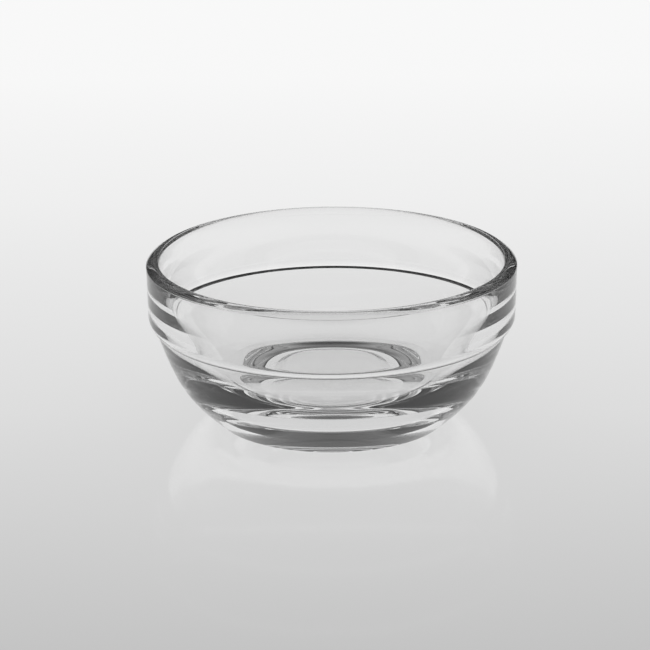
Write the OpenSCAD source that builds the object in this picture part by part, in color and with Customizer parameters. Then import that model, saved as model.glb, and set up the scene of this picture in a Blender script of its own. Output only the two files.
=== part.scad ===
// Prep bowl, pressed from one gob of clear glass.
// The whole bowl is one profile turned about the Z axis. It stands on a bearing ring at z = 0.
// Outside: rounded rim, upright band, small shoulder over a sharp corner, round body, bearing ring
// around a coned recess.
// Inside: one smooth wall that leans in from the rim and runs round into a flat floor.

/* [Rim] */
// Outer diameter of the rim
rim_d = 90; // [84:0.5:96]
// Height of the bowl
bowl_h = 40; // [37:0.25:44]
// Thickness of the rounded rim
rim_t = 3.3; // [2.8:0.1:4]

/* [Band] */
// Height of the upright band, from its foot to the top of the rim
band_h = 13.7; // [12:0.1:15]
// How far the band's outside narrows on its way down
band_draft = 0.41; // [0.2:0.01:0.8]

/* [Shoulder] */
// Radius of the shoulder's curve
shoulder_r = 3; // [2:0.1:4]
// Slope at which the shoulder's underside meets the body, from upright
shoulder_slope = 55; // [45:1:60]
// Radius left in the corner under the shoulder
hollow_r = 0.8; // [0.4:0.1:1.5]

/* [Body] */
// Slope of the body's wall under the shoulder, from upright
body_slope = 19.7; // [16:0.1:24]
// Slope of the heel where it meets the ground, from upright
heel_slope = 49; // [44:0.5:54]

/* [Foot] */
// Diameter of the foot where the heel would reach the ground
foot_d = 56.2; // [52:0.2:60]
// Radius between the heel and the bearing ring
foot_r = 0.8; // [0.4:0.1:1.2]
// Width of the bearing ring's flat
bearing_w = 3.4; // [2:0.1:5]
// Depth of the coned recess in the underside
recess_h = 5.4; // [3.5:0.1:6]
// Width of the slope between the bearing ring and the flat of the recess
recess_slope_w = 13.3; // [8:0.1:16]

/* [Inside] */
// Slope of the inner wall just under the rim, from upright
mouth_slope = 6.5; // [3:0.1:8]
// Inner diameter at the level given below
wall_d = 78.4; // [75:0.1:80]
// Level at which that diameter is measured, above the ground
wall_level = 24.5; // [22:0.1:27]
// Slope of the inner wall at that level, from upright
wall_slope = 15; // [12:0.1:22]

/* [Floor] */
// Thickness of the glass in the middle of the floor, above the recess
floor_t = 2.9; // [2.4:0.1:5]
// Diameter of the flat floor inside
floor_d = 46; // [38:0.5:48]

/* [Hidden] */

// Straight pieces in each arc and in each long curve of the profile
arc_steps = 8;
curve_steps = 28;
// How far each long curve's handles reach, as shares of its chord
body_reach_shares = [0.5, 0.43];
recess_reach_shares = [0.05, 0.19];
wall_reach_shares = [0.42, 0.22];
mouth_reach_shares = [0.36, 0.36];

rim_r = rim_d/2;
rim_round = rim_t/2;
rim_level = bowl_h - rim_round;
band_foot = bowl_h - band_h;
band_angle = atan2(band_draft, rim_level - band_foot);

// Where the shoulder's curve starts, and the centres of its curve and of the hollow
shoulder_top = [rim_r - band_draft, band_foot];
shoulder_centre = shoulder_top - shoulder_r*out(band_angle);
hollow_centre = shoulder_centre + (shoulder_r + hollow_r)*out(shoulder_slope);
body_top = hollow_centre - hollow_r*out(body_slope);

// The heel runs to this place before its edge is rounded
foot_cut = foot_r*tan((90 - heel_slope)/2);
foot_centre = [foot_d/2 - foot_cut, foot_r];
heel_end = foot_centre + foot_r*out(heel_slope);
bearing_out_r = foot_d/2 - foot_cut;
bearing_in_r = bearing_out_r - bearing_w;
recess_r = bearing_in_r - recess_slope_w;

// The inside, from the floor up to the rim
floor_level = recess_h + floor_t;
floor_edge = [floor_d/2, floor_level];
wall_place = [wall_d/2, wall_level];
rim_inside = [rim_r - rim_t, rim_level];

// Unit vector that points out of the wall, dipping by an angle below level
function out(dip) = [cos(dip), -sin(dip)];

// Unit vector that runs down the wall, leaning in by an angle from upright
function down(lean) = [-sin(lean), -cos(lean)];

// Points of an arc about a centre, from one angle to another, both in degrees from level
function arc(centre, radius, from, to) =
    [for (i = [0:arc_steps]) let (a = from + (to - from)*i/arc_steps)
        centre + radius*[cos(a), sin(a)]];

// Points of a cubic curve between two places that leaves and arrives in given directions.
// The first place is left out, because the curve before ends there.
function curve(start, leave, end, arrive, shares) =
    let (chord = norm(end - start),
         b = start + shares[0]*chord*leave,
         c = end - shares[1]*chord*arrive)
    [for (i = [1:curve_steps]) let (t = i/curve_steps, u = 1 - t)
        u*u*u*start + 3*u*u*t*b + 3*u*t*t*c + t*t*t*end];

// Outside of the glass, from the rim's top down to the middle of the recess
outside = concat(
    arc([rim_r - rim_round, rim_level], rim_round, 90, -band_angle),
    arc(shoulder_centre, shoulder_r, -band_angle, -shoulder_slope),
    arc(hollow_centre, -hollow_r, -shoulder_slope, -body_slope),
    curve(body_top, down(body_slope), heel_end, down(heel_slope), body_reach_shares),
    arc(foot_centre, foot_r, -heel_slope, -90),
    [[bearing_in_r, 0]],
    curve([bearing_in_r, 0], [-1, 0], [recess_r, recess_h], [-1, 0], recess_reach_shares),
    [[0, recess_h]]);

// Inside of the glass, from the middle of the floor up to the rim
inside = concat(
    [[0, floor_level], floor_edge],
    curve(floor_edge, [1, 0], wall_place, -down(wall_slope), wall_reach_shares),
    curve(wall_place, -down(wall_slope), rim_inside, -down(mouth_slope), mouth_reach_shares),
    arc([rim_r - rim_round, rim_level], rim_round, 180, 90));

module bowl() {
    color([0.86, 0.9, 0.9, 0.35])
        rotate_extrude($fn = 180)
            polygon(concat(outside, inside));
}

bowl();
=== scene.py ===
import math

import bpy
import numpy as np
from mathutils import Matrix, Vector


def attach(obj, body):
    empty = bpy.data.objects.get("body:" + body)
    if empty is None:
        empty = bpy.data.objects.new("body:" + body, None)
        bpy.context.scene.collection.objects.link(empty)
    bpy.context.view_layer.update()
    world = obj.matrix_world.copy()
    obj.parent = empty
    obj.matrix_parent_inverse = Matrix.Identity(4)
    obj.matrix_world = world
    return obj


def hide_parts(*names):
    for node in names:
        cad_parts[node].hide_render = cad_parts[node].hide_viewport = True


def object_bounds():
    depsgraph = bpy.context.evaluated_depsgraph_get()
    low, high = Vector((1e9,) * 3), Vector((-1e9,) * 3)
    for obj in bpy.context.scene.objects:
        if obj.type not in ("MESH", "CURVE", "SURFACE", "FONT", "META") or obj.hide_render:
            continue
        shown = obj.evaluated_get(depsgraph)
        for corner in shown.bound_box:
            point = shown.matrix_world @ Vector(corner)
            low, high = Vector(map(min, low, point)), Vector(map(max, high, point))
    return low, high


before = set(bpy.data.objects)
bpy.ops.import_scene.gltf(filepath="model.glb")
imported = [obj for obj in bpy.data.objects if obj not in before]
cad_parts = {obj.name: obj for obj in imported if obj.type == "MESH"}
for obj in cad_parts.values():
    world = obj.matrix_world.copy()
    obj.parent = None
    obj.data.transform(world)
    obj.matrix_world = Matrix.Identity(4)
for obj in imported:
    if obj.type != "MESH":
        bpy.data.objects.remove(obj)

cad_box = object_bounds()
MM = 0.001


# The bowl: one piece of clear pressed glass. A plunger pressed the inside, a mould shaped the
# outside, and the rim was rounded in a flame afterwards. It stands loose on a narrow ring that
# is left around the recess of its thick bottom.

# Rim and band, in millimetres. Each pair named reach gives a curve's handles as shares of its chord,
# and each slope is in degrees from upright.
RIM_R = 0.5*(cad_box[1][0] - cad_box[0][0])/MM
BOWL_H = cad_box[1][2]/MM
RIM_T = 3.27
RIM_TOP_SHARE = 0.395
RIM_OUT_DROP = 1.53
RIM_OUT_REACH = (0.16, 0.2)
RIM_IN_DROP = 1.0
RIM_IN_REACH = (0.43, 0.37)
BAND_H = 13.7
BAND_DRAFT = 0.315

# Shoulder, with the sharp corner under it
SHOULDER_R = 3.45
SHOULDER_SLOPE = 55.0
HOLLOW_R = 0.3

# Body and foot
BODY_SLOPE = 19.7
HEEL_SLOPE = 49.0
BODY_REACH = (0.5, 0.43)
FOOT_R = 28.5
FOOT_EDGE_R = 0.4
BEARING_W = 3.9
RECESS_H = 5.4
RECESS_SLOPE_W = 13.3
RECESS_REACH = (0.05, 0.19)

# Inner wall: its slope under the rim, a place on it opposite the shoulder, and its slope there
MOUTH_SLOPE = 7.9
MOUTH_REACH = (0.52, 0.45)
WALL_R = 39.2
WALL_LEVEL = 24.5
WALL_SLOPE = 15.0
WALL_REACH = (0.37, 0.22)
FLOOR_T = 2.9
FLOOR_R = 23.0

# Steps of the mesh around the axis and along each stretch of the profile, and the largest angle
# between two points of an arc, in degrees
TURN_STEPS = 256
RIM_STEPS = 16
BAND_STEPS = 8
BODY_STEPS = 64
BEARING_STEPS = 3
RECESS_STEPS = 20
UNDER_STEPS = 4
FLOOR_STEPS = 6
WALL_STEPS = 64
MOUTH_STEPS = 30
SHOULDER_ANGLE = 3.0
FOOT_ANGLE = 5.0
ARC_STEPS_MIN = 3

# Glass: how it bends light, and the ripple and haze on its faces
GLASS_IOR = 1.5
RIPPLE_SCALE = 90.0
RIPPLE_STRENGTH = 0.05
RIPPLE_DEPTH = 0.0002
HAZE_SPAN = (0.4, 0.8)
HAZE_ROUGHNESS = 0.02


def out(dip):
    """Unit vector (r, z) that points out of the wall, dipping below level by an angle in degrees."""
    return np.array([math.cos(math.radians(dip)), -math.sin(math.radians(dip))])


def down(lean):
    """Unit vector (r, z) that runs down the wall, leaning in from upright by an angle in degrees."""
    return np.array([-math.sin(math.radians(lean)), -math.cos(math.radians(lean))])


def arc(centre, radius, start, end, step):
    """Points centre + radius*(cos a, sin a), with a running from start to end in degrees."""
    count = max(ARC_STEPS_MIN, math.ceil(abs(end - start)/step))
    a = np.radians(np.linspace(start, end, count + 1))
    return np.asarray(centre) + radius*np.stack([np.cos(a), np.sin(a)], axis=1)


def line(start, end, count):
    """Points start + t*(end - start), with t from 0 to 1 and the first point left out."""
    t = np.linspace(0, 1, count + 1)[1:, None]
    return np.asarray(start) + t*(np.asarray(end) - np.asarray(start))


def curve(start, leave, end, arrive, reach, count):
    """Cubic curve u^3*start + 3u^2t*b + 3ut^2*c + t^3*end, with u = 1 - t and the first point left
    out. Its handles b and c lie along the two directions, at shares of the chord."""
    start, end = np.asarray(start), np.asarray(end)
    chord = np.linalg.norm(end - start)
    b = start + reach[0]*chord*np.asarray(leave)
    c = end - reach[1]*chord*np.asarray(arrive)
    t = np.linspace(0, 1, count + 1)[1:, None]
    u = 1 - t
    return u**3*start + 3*u*u*t*b + 3*u*t*t*c + t**3*end


def glass_profile():
    """Both halves of the section: the outside from the rim's top to the axis under the bottom, and
    the inside from the axis on the floor back to the rim's top, in millimetres."""
    rim_top = (RIM_R - (1 - RIM_TOP_SHARE)*RIM_T, BOWL_H)
    rim_inside = (RIM_R - RIM_T, BOWL_H - RIM_IN_DROP)
    band_foot = BOWL_H - BAND_H
    band_angle = math.degrees(math.atan2(BAND_DRAFT, BAND_H))
    shoulder_top = np.array([RIM_R - BAND_DRAFT, band_foot])
    shoulder_centre = shoulder_top - SHOULDER_R*out(band_angle)
    hollow_centre = shoulder_centre + (SHOULDER_R + HOLLOW_R)*out(SHOULDER_SLOPE)
    body_top = hollow_centre - HOLLOW_R*out(BODY_SLOPE)
    foot_cut = FOOT_EDGE_R*math.tan(math.radians((90 - HEEL_SLOPE)/2))
    foot_centre = np.array([FOOT_R - foot_cut, FOOT_EDGE_R])
    bearing_in = np.array([FOOT_R - foot_cut - BEARING_W, 0.0])
    recess_edge = bearing_in + np.array([-RECESS_SLOPE_W, RECESS_H])

    rim_outside = (RIM_R - RIM_OUT_DROP*BAND_DRAFT/BAND_H, BOWL_H - RIM_OUT_DROP)
    outer = [np.array([rim_top])]
    outer.append(curve(rim_top, (1, 0), rim_outside, down(band_angle), RIM_OUT_REACH, RIM_STEPS))
    outer.append(line(outer[-1][-1], shoulder_top, BAND_STEPS))
    outer.append(arc(shoulder_centre, SHOULDER_R, -band_angle, -SHOULDER_SLOPE, SHOULDER_ANGLE)[1:])
    outer.append(arc(hollow_centre, -HOLLOW_R, -SHOULDER_SLOPE, -BODY_SLOPE, SHOULDER_ANGLE)[1:])
    heel_end = foot_centre + FOOT_EDGE_R*out(HEEL_SLOPE)
    outer.append(curve(body_top, down(BODY_SLOPE), heel_end, down(HEEL_SLOPE), BODY_REACH, BODY_STEPS))
    outer.append(arc(foot_centre, FOOT_EDGE_R, -HEEL_SLOPE, -90, FOOT_ANGLE)[1:])
    outer.append(line(outer[-1][-1], bearing_in, BEARING_STEPS))
    outer.append(curve(bearing_in, (-1, 0), recess_edge, (-1, 0), RECESS_REACH, RECESS_STEPS))
    outer.append(line(recess_edge, (0.0, RECESS_H), UNDER_STEPS))

    floor_level = RECESS_H + FLOOR_T
    floor_middle, floor_edge = (0.0, floor_level), (FLOOR_R, floor_level)
    wall_place = (WALL_R, WALL_LEVEL)
    wall_up, mouth_up = -down(WALL_SLOPE), -down(MOUTH_SLOPE)
    inner = [np.array([floor_middle])]
    inner.append(line(floor_middle, floor_edge, FLOOR_STEPS))
    inner.append(curve(floor_edge, (1, 0), wall_place, wall_up, WALL_REACH, WALL_STEPS))
    inner.append(curve(wall_place, wall_up, rim_inside, mouth_up, MOUTH_REACH, MOUTH_STEPS))
    inner.append(curve(rim_inside, mouth_up, rim_top, (1, 0), RIM_IN_REACH, RIM_STEPS))
    return np.vstack(outer), np.vstack(inner)


def turned_mesh(name, outer, inner, steps):
    """Closed surface of revolution: point (r, z) of the profile goes to (r cos a, r sin a, z) for
    each angle a, and the two ends on the axis are one point each."""
    rings = np.vstack([outer[:-1], inner[1:-1]])*MM
    count = len(rings)
    a = np.arange(steps)*2*np.pi/steps
    grid = np.stack([rings[:, :1]*np.cos(a), rings[:, :1]*np.sin(a), np.repeat(rings[:, 1:], steps, 1)], -1)
    under = (0.0, 0.0, outer[-1][1]*MM)
    floor = (0.0, 0.0, inner[0][1]*MM)
    points = np.vstack([grid.reshape(-1, 3), under, floor])
    index = np.arange(count*steps).reshape(count, steps)
    last_outer = len(outer) - 2
    first = np.delete(np.arange(count), last_outer)
    upper, lower = index[first], index[(first + 1) % count]
    sides = np.stack([upper, lower, np.roll(lower, -1, 1), np.roll(upper, -1, 1)], -1).reshape(-1, 4)
    low, high = index[last_outer], index[last_outer + 1]
    under_fan = np.stack([low, np.full(steps, count*steps), np.roll(low, -1)], -1)
    floor_fan = np.stack([np.full(steps, count*steps + 1), high, np.roll(high, -1)], -1)
    mesh = bpy.data.meshes.new(name)
    mesh.from_pydata(points.tolist(), [], sides.tolist() + under_fan.tolist() + floor_fan.tolist())
    mesh.polygons.foreach_set("use_smooth", np.ones(len(mesh.polygons), bool))
    mesh.update()
    return mesh


def pressed_glass():
    """Clear glass whose faces carry the slow ripple of pressing, with a trace of haze on the
    ripple's crests."""
    material = bpy.data.materials.new("clear_pressed_glass")
    material.use_nodes = True
    nodes, links = material.node_tree.nodes, material.node_tree.links
    shader = nodes["Principled BSDF"]
    shader.inputs["Base Color"].default_value = (1.0, 1.0, 1.0, 1.0)
    shader.inputs["Metallic"].default_value = 0.0
    shader.inputs["Transmission Weight"].default_value = 1.0
    shader.inputs["IOR"].default_value = GLASS_IOR
    place = nodes.new("ShaderNodeTexCoord")
    ripple = nodes.new("ShaderNodeTexNoise")
    ripple.inputs["Scale"].default_value = RIPPLE_SCALE
    ripple.inputs["Detail"].default_value = 1.0
    links.new(place.outputs["Object"], ripple.inputs["Vector"])
    bump = nodes.new("ShaderNodeBump")
    bump.inputs["Strength"].default_value = RIPPLE_STRENGTH
    bump.inputs["Distance"].default_value = RIPPLE_DEPTH
    links.new(ripple.outputs["Fac"], bump.inputs["Height"])
    links.new(bump.outputs["Normal"], shader.inputs["Normal"])
    haze = nodes.new("ShaderNodeMapRange")
    haze.inputs["From Min"].default_value = HAZE_SPAN[0]
    haze.inputs["From Max"].default_value = HAZE_SPAN[1]
    haze.inputs["To Min"].default_value = 0.0
    haze.inputs["To Max"].default_value = HAZE_ROUGHNESS
    links.new(ripple.outputs["Fac"], haze.inputs["Value"])
    links.new(haze.outputs["Result"], shader.inputs["Roughness"])
    return material


bowl_outer, bowl_inner = glass_profile()
bowl = bpy.data.objects.new("pressed_bowl", turned_mesh("pressed_bowl", bowl_outer, bowl_inner, TURN_STEPS))
bpy.context.scene.collection.objects.link(bowl)
bowl.data.materials.append(pressed_glass())
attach(bowl, "root")
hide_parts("bowl")


# The table: a white sheet, a little glossy, that runs far back. Its grey carries painted shade: it
# gets darker towards the front and far out to the sides, and stays pale towards the back. The camera and
# the glass see most of its colour as its own plain light, and the rest is lit, so that the bowl's shadow
# stays.

# Sizes and places in metres: the painted shade greys are pairs of a place along Y and the grey there
FLOOR_SIZE = 6.0
FLOOR_GAP = 0.00005
# Painted shade along Y: the white sheet is drawn darker towards the front and pale towards the back
FLOOR_SHADE_GREYS = ((-0.4, 0.1), (-0.134, 0.555), (0.0, 0.725), (0.19, 0.865), (0.35, 0.94), (0.7, 0.97))
# Painted shade: where and how far the sheet's grey falls towards both sides
SIDE_SHADE_SPAN = (0.15, 0.35)
SIDE_SHADE_SHARE = 0.15
GLOW_SHARE = 0.92
FLOOR_ROUGHNESS = 0.08
FLOOR_SPECULAR = 0.15


def eased(nodes, links, value, start, end, low, high):
    """Smooth step of a value: low up to start, high from end on."""
    step = nodes.new("ShaderNodeMapRange")
    step.interpolation_type = "SMOOTHSTEP"
    links.new(value, step.inputs["Value"])
    step.inputs["From Min"].default_value = start
    step.inputs["From Max"].default_value = end
    step.inputs["To Min"].default_value = low
    step.inputs["To Max"].default_value = high
    return step.outputs["Result"]


def combined(nodes, links, operation, first, second):
    """Sum, product or maximum of two values."""
    math_node = nodes.new("ShaderNodeMath")
    math_node.operation = operation
    links.new(first, math_node.inputs[0])
    links.new(second, math_node.inputs[1])
    return math_node.outputs[0]


def seen_directly(nodes, links):
    """1 for a ray of the camera, or one that glass or gloss sends on, and 0 for a ray of light."""
    path = nodes.new("ShaderNodeLightPath")
    seen = combined(nodes, links, "MAXIMUM", path.outputs["Is Camera Ray"], path.outputs["Is Glossy Ray"])
    return combined(nodes, links, "MAXIMUM", seen, path.outputs["Is Transmission Ray"])


def floor_mesh():
    """A flat square about the origin, a hair under the glass so that the two don't share a plane."""
    half = FLOOR_SIZE/2
    level = -FLOOR_GAP
    mesh = bpy.data.meshes.new("table")
    corners = [(-half, -half, level), (half, -half, level), (half, half, level), (-half, half, level)]
    mesh.from_pydata(corners, [], [(0, 1, 2, 3)])
    return mesh


def floor_material():
    """White sheet whose grey is a ramp along Y, a painted shade that darkens it towards the front,
    times a painted shade that falls smoothly towards both sides, with a share of it as light for the rays
    that see it."""
    material = bpy.data.materials.new("white_sheet_painted_shade")
    material.use_nodes = True
    nodes, links = material.node_tree.nodes, material.node_tree.links
    shader = nodes["Principled BSDF"]
    shader.inputs["Roughness"].default_value = FLOOR_ROUGHNESS
    shader.inputs["Specular IOR Level"].default_value = FLOOR_SPECULAR
    place = nodes.new("ShaderNodeTexCoord")
    split = nodes.new("ShaderNodeSeparateXYZ")
    links.new(place.outputs["Object"], split.inputs[0])
    span = nodes.new("ShaderNodeMapRange")
    low, high = FLOOR_SHADE_GREYS[0][0], FLOOR_SHADE_GREYS[-1][0]
    span.inputs["From Min"].default_value = low
    span.inputs["From Max"].default_value = high
    links.new(split.outputs["Y"], span.inputs["Value"])
    # Painted shade along Y, darker at the front and pale at the back
    ramp = nodes.new("ShaderNodeValToRGB")
    links.new(span.outputs["Result"], ramp.inputs["Fac"])
    stops = ramp.color_ramp.elements
    for number, (y, shaded_grey) in enumerate(FLOOR_SHADE_GREYS):
        at = (y - low)/(high - low)
        stop = stops[number] if number < 2 else stops.new(at)
        stop.position = at
        stop.color = (shaded_grey, shaded_grey, shaded_grey, 1.0)
    # Painted shade that darkens the sheet far out to both sides
    sideways = nodes.new("ShaderNodeMath")
    sideways.operation = "ABSOLUTE"
    links.new(split.outputs["X"], sideways.inputs[0])
    side_shade = eased(nodes, links, sideways.outputs[0], *SIDE_SHADE_SPAN, 1.0, SIDE_SHADE_SHARE)
    shaded_grey = combined(nodes, links, "MULTIPLY", ramp.outputs["Color"], side_shade)
    seen = seen_directly(nodes, links)
    glow = eased(nodes, links, seen, 0.0, 1.0, 0.0, GLOW_SHARE)
    lit = eased(nodes, links, seen, 0.0, 1.0, 1.0, 1.0 - GLOW_SHARE)
    links.new(combined(nodes, links, "MULTIPLY", shaded_grey, lit), shader.inputs["Base Color"])
    links.new(shaded_grey, shader.inputs["Emission Color"])
    links.new(glow, shader.inputs["Emission Strength"])
    return material


table = bpy.data.objects.new("table", floor_mesh())
bpy.context.scene.collection.objects.link(table)
table.data.materials.append(floor_material())


# The light: a wide soft one overhead. The glass shows the room instead, which is dim all round
# under a softly lit ceiling.
LIGHT_LOW = 0.2
LIGHT_TOP = 1.5
LIGHT_SPAN = (0.3, 0.8)
ROOM_LOW = 0.02
CEILING = 0.3
CEILING_SPAN = (0.35, 0.9)


def room():
    """World whose strength depends on the direction: one pattern for the light, and a dimmer one for
    what the camera and the glass see."""
    world = bpy.data.worlds.new("room")
    world.use_nodes = True
    nodes, links = world.node_tree.nodes, world.node_tree.links
    background = nodes["Background"]
    background.inputs["Color"].default_value = (1.0, 1.0, 1.0, 1.0)
    place = nodes.new("ShaderNodeTexCoord")
    split = nodes.new("ShaderNodeSeparateXYZ")
    links.new(place.outputs["Generated"], split.inputs[0])
    height = split.outputs["Z"]
    light = eased(nodes, links, height, *LIGHT_SPAN, LIGHT_LOW, LIGHT_TOP)
    ceiling = eased(nodes, links, height, *CEILING_SPAN, ROOM_LOW, CEILING)
    choice = nodes.new("ShaderNodeMix")
    links.new(seen_directly(nodes, links), choice.inputs["Factor"])
    links.new(light, choice.inputs["A"])
    links.new(ceiling, choice.inputs["B"])
    links.new(choice.outputs["Result"], background.inputs["Strength"])
    return world


bpy.context.scene.world = room()


# The camera: a long lens that looks down on the bowl from 700 mm. Its focal length is in pixels of
# the square image, and becomes millimetres through the width of the sensor.
CAMERA_DISTANCE = 700.0
CAMERA_PITCH = 18.47
CAMERA_ROLL = -0.42
CAMERA_AIM = (-1.7, 0.0, 22.4)
IMAGE_SIZE = 650
FOCAL_PIXELS = 2866.0
SENSOR_WIDTH = 36.0
SIGHT_END = 50.0
BOUNCES = 32


def camera_matrix():
    """Camera axes from pitch and roll, and its place at the aim point minus the distance along the
    line of sight."""
    pitch, roll = math.radians(CAMERA_PITCH), math.radians(CAMERA_ROLL)
    forward = np.array([0, math.cos(pitch), -math.sin(pitch)])
    level_up = np.array([0, math.sin(pitch), math.cos(pitch)])
    level_right = np.array([1.0, 0, 0])
    right = math.cos(roll)*level_right + math.sin(roll)*level_up
    up = -math.sin(roll)*level_right + math.cos(roll)*level_up
    place = (np.array(CAMERA_AIM) - CAMERA_DISTANCE*forward)*MM
    matrix = np.eye(4)
    matrix[:3] = np.stack([right, up, -forward, place], axis=1)
    return Matrix(matrix.tolist())


lens = bpy.data.cameras.new("camera")
lens.sensor_fit = "HORIZONTAL"
lens.sensor_width = SENSOR_WIDTH
lens.lens = FOCAL_PIXELS*SENSOR_WIDTH/IMAGE_SIZE
lens.clip_end = SIGHT_END
camera = bpy.data.objects.new("camera", lens)
camera.matrix_world = camera_matrix()
bpy.context.scene.collection.objects.link(camera)
bpy.context.scene.camera = camera
bpy.context.scene.view_settings.view_transform = "Standard"

# Light turns many times inside glass this thick before it leaves
bpy.context.scene.cycles.max_bounces = BOUNCES
bpy.context.scene.cycles.glossy_bounces = BOUNCES
bpy.context.scene.cycles.transmission_bounces = BOUNCES
